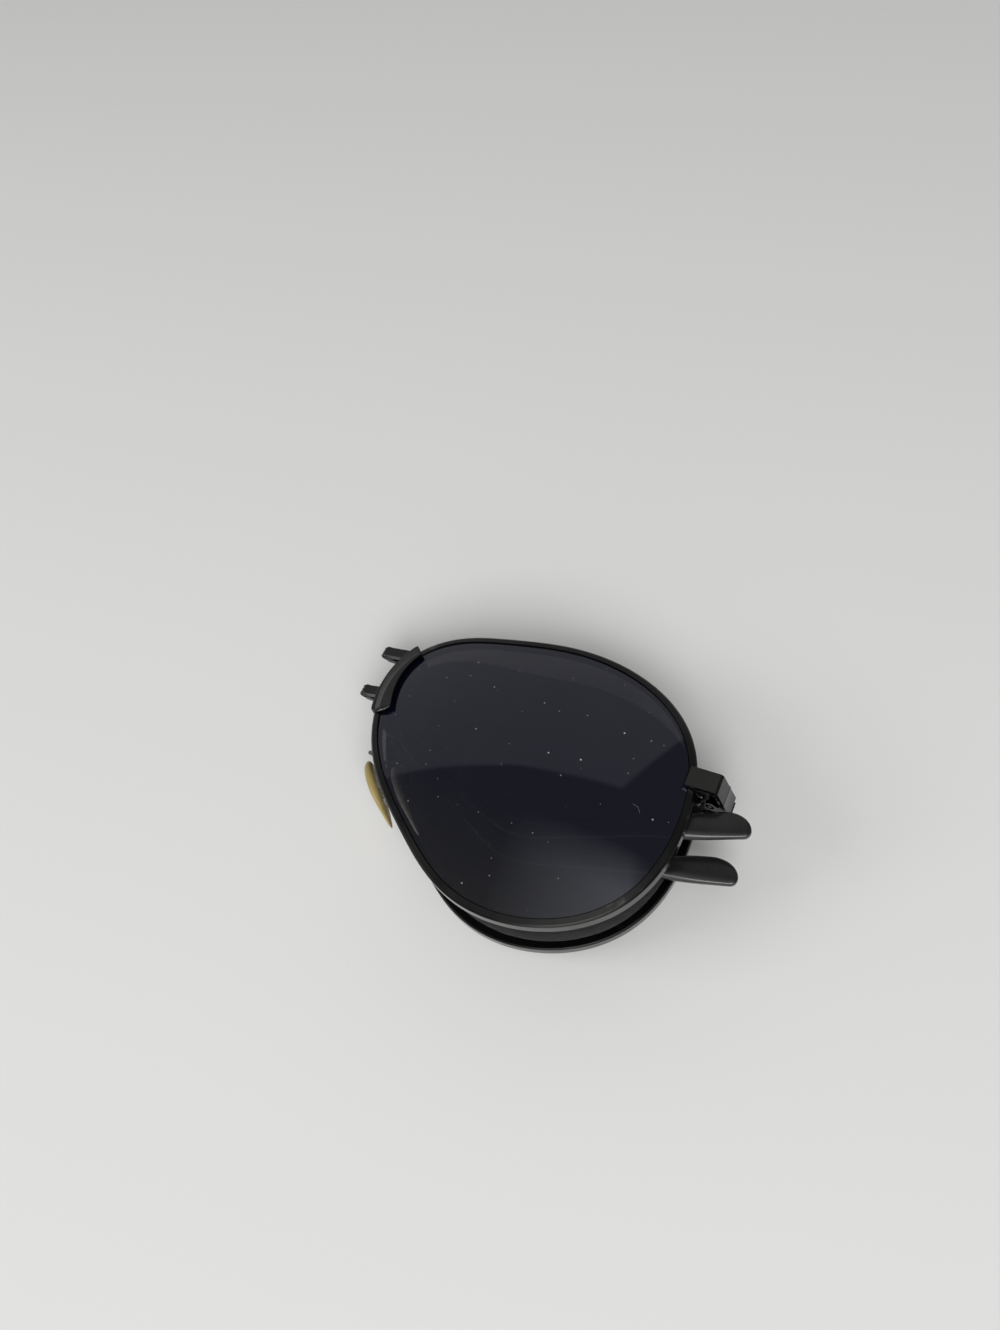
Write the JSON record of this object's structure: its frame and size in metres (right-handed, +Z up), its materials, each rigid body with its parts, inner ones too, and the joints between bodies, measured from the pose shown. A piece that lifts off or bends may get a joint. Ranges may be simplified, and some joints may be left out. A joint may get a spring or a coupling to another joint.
{
  "type": "folding aviator sunglasses",
  "caption": "Folding aviator sunglasses in black metal, folded at the bridge and temples so that the two dark lenses lie back to back.",
  "frame": {"origin": "middle of the folded pair's footprint, on the surface that the right lens lies on", "axes": "+X from the bridge's fold to the temple hinges, +Y up the wearer's face, +Z up from the surface"},
  "size_m": [0.0746, 0.0494, 0.0207],
  "materials": {
    "black_metal": "satin",
    "dark_steel": "satin",
    "plated_steel": "bright",
    "smoke_lens": "gloss, dark grey-blue, a little lighter at the bottom",
    "tip_plastic": "gloss",
    "amber_silicone": "gloss, aged amber",
    "clear_silicone": "gloss, clear"
  },
  "bodies": {
    "right_half": {"right_lens": "smoke_lens", "right_rim": "black_metal", "right_rim_screw": "dark_steel", "right_bridge_bracket": "black_metal", "right_brow_bar": "black_metal", "right_lower_bridge_bar": "black_metal", "right_end_piece": "black_metal", "right_hinge_screw": "dark_steel", "right_pad_arm": "plated_steel", "right_pad_box": "plated_steel", "right_pad_screw": "plated_steel", "brow_hinge_pin": "dark_steel", "lower_bridge_hinge_pin": "dark_steel"},
    "left_half": {"left_lens": "smoke_lens", "left_rim": "black_metal", "left_rim_screw": "dark_steel", "left_bridge_bracket": "black_metal", "left_brow_bar": "black_metal", "left_lower_bridge_bar": "black_metal", "left_end_piece": "black_metal", "left_hinge_screw": "dark_steel", "left_pad_arm": "plated_steel", "left_pad_box": "plated_steel", "left_pad_screw": "plated_steel"},
    "right_temple_front": {"right_temple_front": "black_metal", "right_mid_rivet": "dark_steel"},
    "right_temple_rear": {"right_temple_rear": "black_metal", "right_temple_tip": "tip_plastic"},
    "right_pad": {"right_nose_pad": "clear_silicone", "right_pad_core": "plated_steel"},
    "left_temple_front": {"left_temple_front": "black_metal", "left_mid_rivet": "dark_steel"},
    "left_temple_rear": {"left_temple_rear": "black_metal", "left_temple_tip": "tip_plastic"},
    "left_pad": {"left_nose_pad": "amber_silicone", "left_pad_core": "plated_steel"}
  },
  "joints": [
    {"name": "bridge_fold", "type": "hinge", "parent": "right_half", "child": "left_half", "pos_m": [-0.03638, 0.0098, 0.00903], "axis": [0, -1, 0], "range_deg": [0, 168]},
    {"name": "left_temple_hinge", "type": "hinge", "parent": "left_half", "child": "left_temple_front", "pos_m": [0.02999, 0.00775, 0.01392], "axis": [0, -1, 0], "range_deg": [0, 0.8]},
    {"name": "right_temple_hinge", "type": "hinge", "parent": "right_half", "child": "right_temple_front", "pos_m": [0.03017, 0.00775, 0.00843], "axis": [0, 1, 0], "range_deg": [0, 0.8]},
    {"name": "left_mid_pivot", "type": "hinge", "parent": "left_temple_front", "child": "left_temple_rear", "pos_m": [-0.02651, 0.0022, 0.01137], "axis": [0.0645, 0, -0.9979], "range_deg": [0, 20]},
    {"name": "right_mid_pivot", "type": "hinge", "parent": "right_temple_front", "child": "right_temple_rear", "pos_m": [-0.02638, 0.0022, 0.00733], "axis": [0, 0, -1], "range_deg": [0, 8]},
    {"name": "left_pad_swivel", "type": "hinge", "parent": "left_half", "child": "left_pad", "pos_m": [-0.02278, -0.00919, 0.00991], "axis": [-0.0645, 0, 0.9979], "range_deg": [-5, 5]},
    {"name": "right_pad_swivel", "type": "hinge", "parent": "right_half", "child": "right_pad", "pos_m": [-0.01815, -0.00839, 0.00903], "axis": [0, 0, 1], "range_deg": [-5, 5]}
  ]
}
